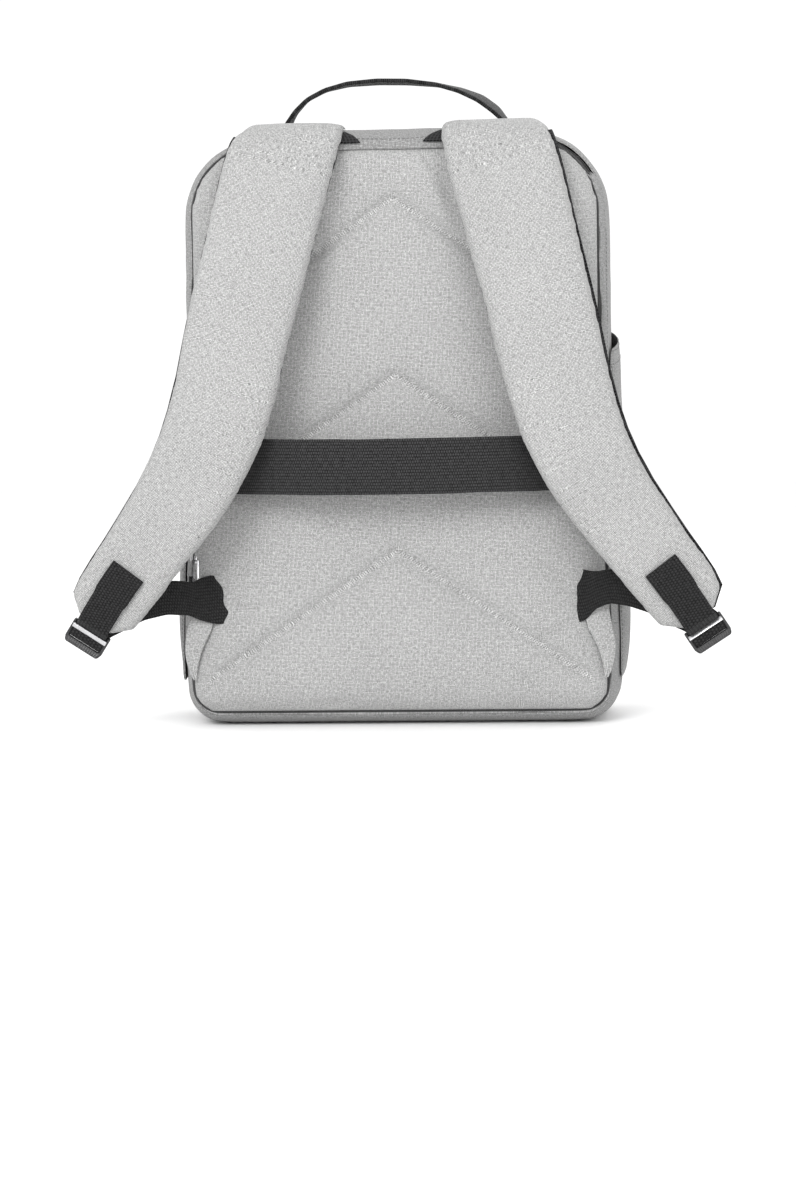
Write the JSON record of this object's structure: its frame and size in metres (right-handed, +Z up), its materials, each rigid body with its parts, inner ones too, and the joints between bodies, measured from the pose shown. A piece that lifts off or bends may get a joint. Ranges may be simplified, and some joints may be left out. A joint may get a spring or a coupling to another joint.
{
  "type": "laptop backpack",
  "caption": "Soft laptop backpack with a padded quilted back, curved shoulder straps, webbing haul handle, side pockets and a broad band across the back.",
  "frame": {"origin": "middle of the flat base, on the surface that the bag stands on", "axes": "+Z up, -Y towards the wearer's back (the straps' side), +X to the right when facing that side"},
  "size_m": [0.4566, 0.1956, 0.4533],
  "materials": {
    "grey_weave": "light heather-grey plain-woven polyester, matt",
    "black_mesh": "black spacer mesh, matt",
    "black_webbing": "black ribbed webbing, slight sheen",
    "black_plastic": "black moulded plastic, satin",
    "zip_tape": "black zip tape with a nylon coil",
    "silver_metal": "satin nickel-plated metal"
  },
  "bodies": {
    "root": {"gusset": "grey_weave", "front_strip": "grey_weave", "back_panel": "grey_weave", "front_panel": "grey_weave", "yoke": "grey_weave", "side_pocket_left": "grey_weave", "side_pocket_right": "grey_weave", "shoulder_strap_left": "grey_weave", "shoulder_strap_right": "grey_weave", "anchor_corner_left": "grey_weave", "anchor_corner_right": "grey_weave", "strap_lining_left": "black_mesh", "strap_lining_right": "black_mesh", "strap_tab_left": "black_webbing", "strap_tab_right": "black_webbing", "lower_webbing_left": "black_webbing", "lower_webbing_right": "black_webbing", "back_band": "black_webbing", "haul_handle": "black_webbing", "buckle_left": "black_plastic", "buckle_right": "black_plastic", "laptop_zip": "zip_tape", "main_zip": "zip_tape", "laptop_zip_pull": "silver_metal", "main_zip_pull": "silver_metal"}
  },
  "joints": []
}
